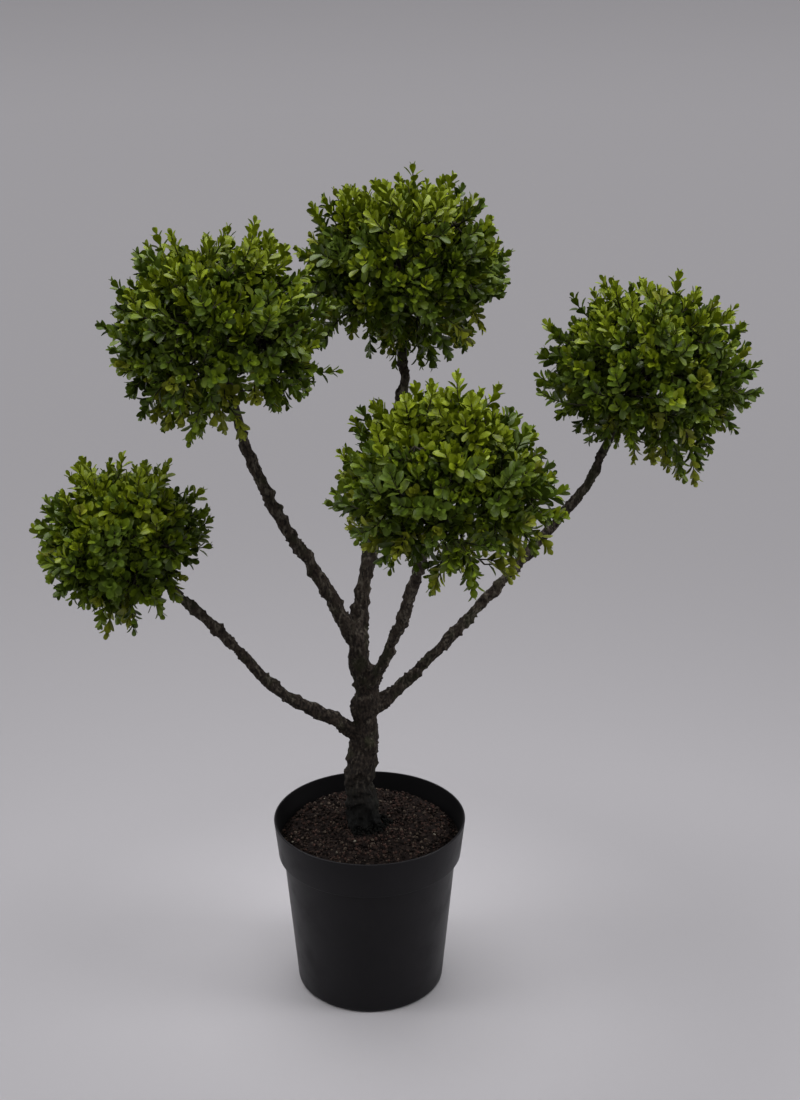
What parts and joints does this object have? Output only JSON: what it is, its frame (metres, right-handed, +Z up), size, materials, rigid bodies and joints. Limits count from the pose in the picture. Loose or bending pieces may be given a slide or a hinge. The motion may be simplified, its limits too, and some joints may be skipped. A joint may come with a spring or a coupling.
{
  "type": "potted artificial boxwood cloud tree",
  "caption": "Artificial boxwood trained as a cloud tree: clipped balls of small leaves on bare boughs that spread from a short trunk, in a round black nursery pot.",
  "frame": {"origin": "centre of the pot's flat underside", "axes": "+Z up, along the pot's axis; -Y towards the viewer of the picture; +X to that viewer's right"},
  "size_m": [0.6574, 0.403, 0.7935],
  "materials": {
    "pot": "black moulded plastic with a soft sheen",
    "soil": "loose reddish-brown granules over a weighted fill",
    "bark": "rough dark grey-brown bark",
    "leaves": "small satin leaves, yellow-green at the tips and dark green inside"
  },
  "bodies": {
    "root": {"pot": "pot", "soil": "soil", "trunk": "bark", "bough_low_left": "bark", "bough_right": "bark", "bough_front": "bark", "bough_upper_left": "bark", "bough_top": "bark", "foliage_low_left": "leaves", "foliage_upper_left": "leaves", "foliage_top": "leaves", "foliage_front": "leaves", "foliage_right": "leaves"}
  },
  "joints": []
}
